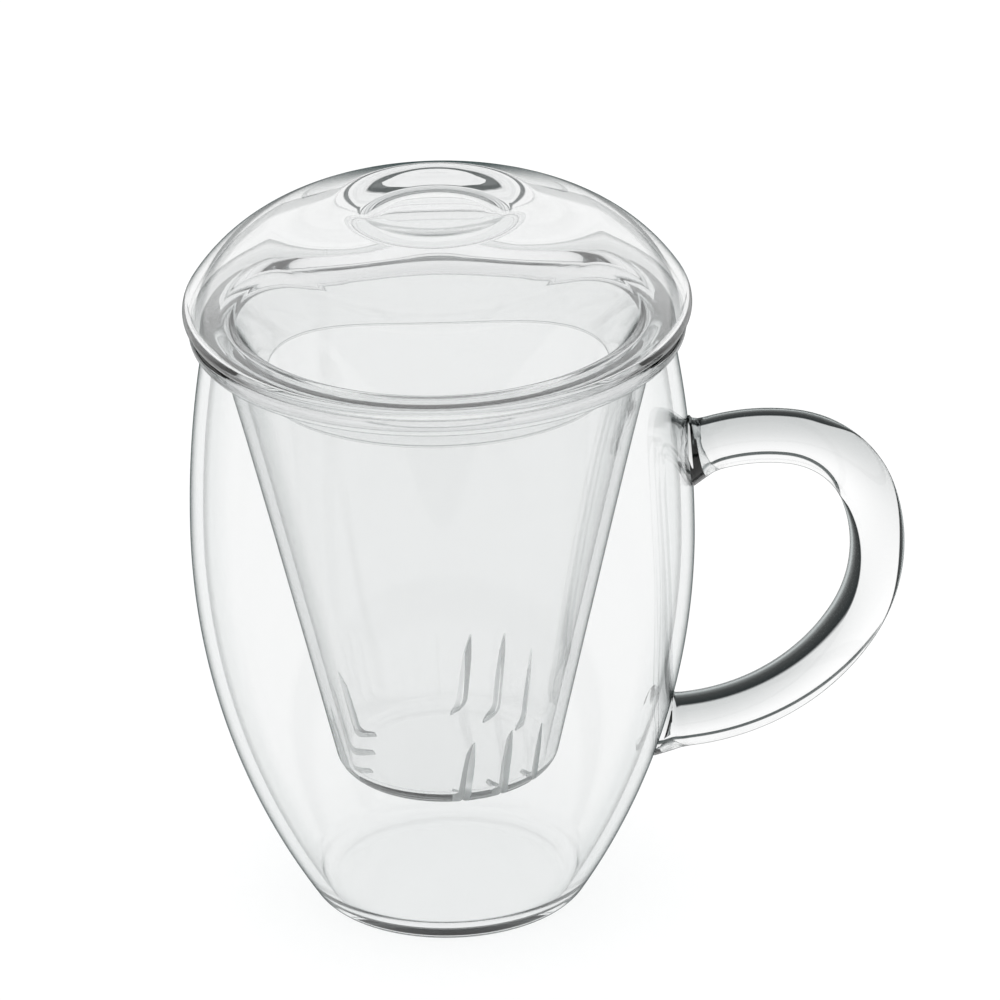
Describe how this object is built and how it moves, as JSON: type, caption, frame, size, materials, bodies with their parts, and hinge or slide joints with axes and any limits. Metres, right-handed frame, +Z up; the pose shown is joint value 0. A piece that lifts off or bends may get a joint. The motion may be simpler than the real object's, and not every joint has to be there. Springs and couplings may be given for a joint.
{
  "type": "glass tea mug with infuser and lid",
  "caption": "Barrel-shaped glass tea mug with a welded rod handle, a slit glass infuser that hangs on its lip, and a domed lid with a finger dimple that lifts off.",
  "frame": {"origin": "centre of the cup's flat standing face, on the cup's axis", "axes": "+Z up along the cup's axis, +X toward the handle"},
  "size_m": [0.1213, 0.0858, 0.128],
  "materials": {
    "clear_glass": "clear polished borosilicate glass"
  },
  "bodies": {
    "mug": {"cup": "clear_glass", "handle": "clear_glass"},
    "strainer": {"infuser": "clear_glass"},
    "cover": {"lid": "clear_glass"}
  },
  "joints": [
    {"name": "infuser_lift", "type": "slide", "parent": "mug", "child": "strainer", "axis": [0, 0, 1], "range_m": [0, 0.095]},
    {"name": "lid_lift", "type": "slide", "parent": "strainer", "child": "cover", "axis": [0, 0, 1], "range_m": [0, 0.06]}
  ]
}
